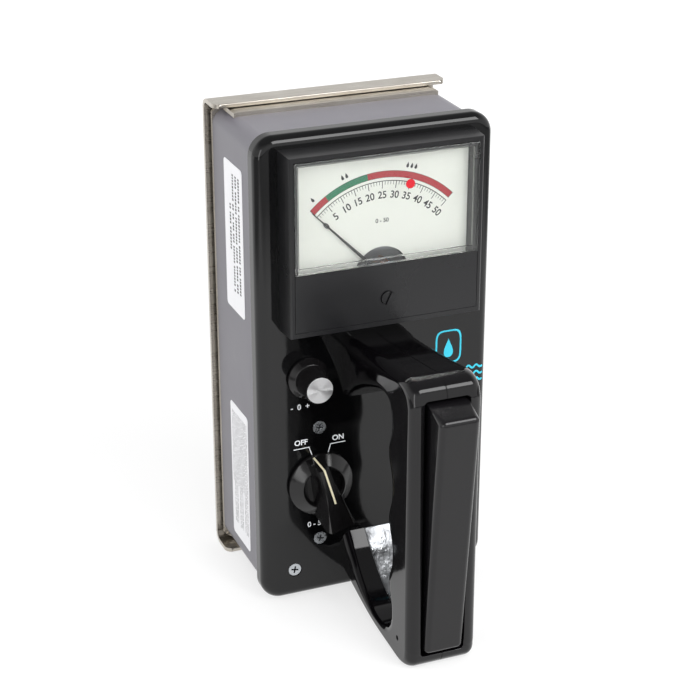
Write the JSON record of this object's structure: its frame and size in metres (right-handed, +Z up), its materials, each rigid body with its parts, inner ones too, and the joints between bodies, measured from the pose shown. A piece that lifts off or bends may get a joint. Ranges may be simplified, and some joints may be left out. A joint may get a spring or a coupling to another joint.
{
  "type": "hand-held moisture meter",
  "caption": "Hand-held pinless moisture meter: black moulded box with an analogue dial, D-handle with squeeze lever, adjust knob, selector and a flat steel sensor plate behind.",
  "frame": {"origin": "centre of the bounding box in X and Y, on the surface that the meter stands on", "axes": "+X to the user's right, +Y from the front cover to the sensor plate, +Z up"},
  "size_m": [0.1112, 0.1567, 0.223],
  "materials": {
    "cover_plastic": "high gloss",
    "case_plastic": "satin",
    "stainless_sheet": "brushed, worn",
    "spacer_nylon": "matt",
    "zinc_plate": "zinc plated",
    "meter_plastic": "satin",
    "window_acrylic": "clear",
    "dial_white": "matt",
    "needle_black": "matt",
    "coil_copper": "bare",
    "movement_metal": "bare",
    "spring_bronze": "bare",
    "knob_plastic": "gloss",
    "spun_aluminium": "spun",
    "shaft_steel": "turned",
    "component_body": "matt",
    "index_ivory": "paint filled",
    "handle_plastic": "gloss",
    "foil_strip": "crinkled",
    "lever_plastic": "satin",
    "switch_red": "matt",
    "circuit_laminate": "satin",
    "cell_sleeve": "gloss",
    "label_stock": "satin",
    "dot_red": "gloss"
  },
  "bodies": {
    "housing": {"front_cover": "cover_plastic", "case_body": "case_plastic", "rear_pan": "stainless_sheet", "sensor_plate": "stainless_sheet", "plate_spacers": "spacer_nylon", "plate_studs": "zinc_plate", "meter_housing": "meter_plastic", "meter_window": "window_acrylic", "meter_lower_panel": "meter_plastic", "dial_plate": "dial_white", "meter_movement": "movement_metal", "hairspring": "spring_bronze", "meter_studs": "spring_bronze", "meter_nuts": "spring_bronze", "adjust_pot": "component_body", "adjust_nut": "zinc_plate", "rotary_switch": "component_body", "selector_nut": "zinc_plate", "handle_left": "handle_plastic", "handle_right": "handle_plastic", "handle_screws": "zinc_plate", "handle_foil": "foil_strip", "lever_pin": "zinc_plate", "lever_spring": "zinc_plate", "trigger_switch": "component_body", "corner_screws": "zinc_plate", "panel_screws": "zinc_plate", "board_standoffs": "zinc_plate", "circuit_board": "circuit_laminate", "board_parts": "component_body", "board_screws": "zinc_plate", "battery_cells": "cell_sleeve", "battery_clamp": "zinc_plate", "clamp_screws": "zinc_plate", "charge_jack": "component_body", "jack_nut": "zinc_plate", "side_label_upper": "label_stock", "side_label_lower": "label_stock", "set_dot": "dot_red"},
    "needle": {"pointer": "needle_black", "pointer_coil": "coil_copper"},
    "zero_adjuster": {"zero_screw": "meter_plastic"},
    "adjust_dial": {"adjust_knob": "knob_plastic", "adjust_cap": "spun_aluminium", "adjust_shaft": "shaft_steel"},
    "selector": {"selector_knob": "knob_plastic", "selector_line": "index_ivory", "selector_shaft": "shaft_steel"},
    "lever": {"squeeze_lever": "lever_plastic"},
    "plunger": {"switch_plunger": "switch_red"}
  },
  "joints": [
    {"name": "needle_swing", "type": "hinge", "parent": "housing", "child": "needle", "pos_m": [0, 0.0046, 0.157], "axis": [0, 1, 0], "range_deg": [0, 90], "stiffness_Nm_per_rad": 0.0002},
    {"name": "zero_turn", "type": "hinge", "parent": "housing", "child": "zero_adjuster", "pos_m": [0, -0.00185, 0.1486], "axis": [0, 1, 0], "range_deg": [-45, 45]},
    {"name": "adjust_turn", "type": "hinge", "parent": "housing", "child": "adjust_dial", "pos_m": [-0.0326, 0.01085, 0.1111], "axis": [0, 1, 0], "range_deg": [-150, 150]},
    {"name": "selector_turn", "type": "hinge", "parent": "housing", "child": "selector", "pos_m": [-0.0272, 0.01085, 0.0581], "axis": [0, 1, 0], "range_deg": [0, 30]},
    {"name": "lever_squeeze", "type": "hinge", "parent": "housing", "child": "lever", "pos_m": [0, -0.05325, 0.0107], "axis": [-1, 0, 0], "range_deg": [0, 5.2], "stiffness_Nm_per_rad": 2, "springref_deg": -2.86, "deforming": ["lever_spring"]},
    {"name": "plunger_slide", "type": "slide", "parent": "housing", "child": "plunger", "axis": [0, 1, 0], "range_m": [0, 0.0015]}
  ],
  "couplings": [
    {"joint": "plunger_slide", "follows": "lever_squeeze", "m_per_rad": 0.0165}
  ]
}
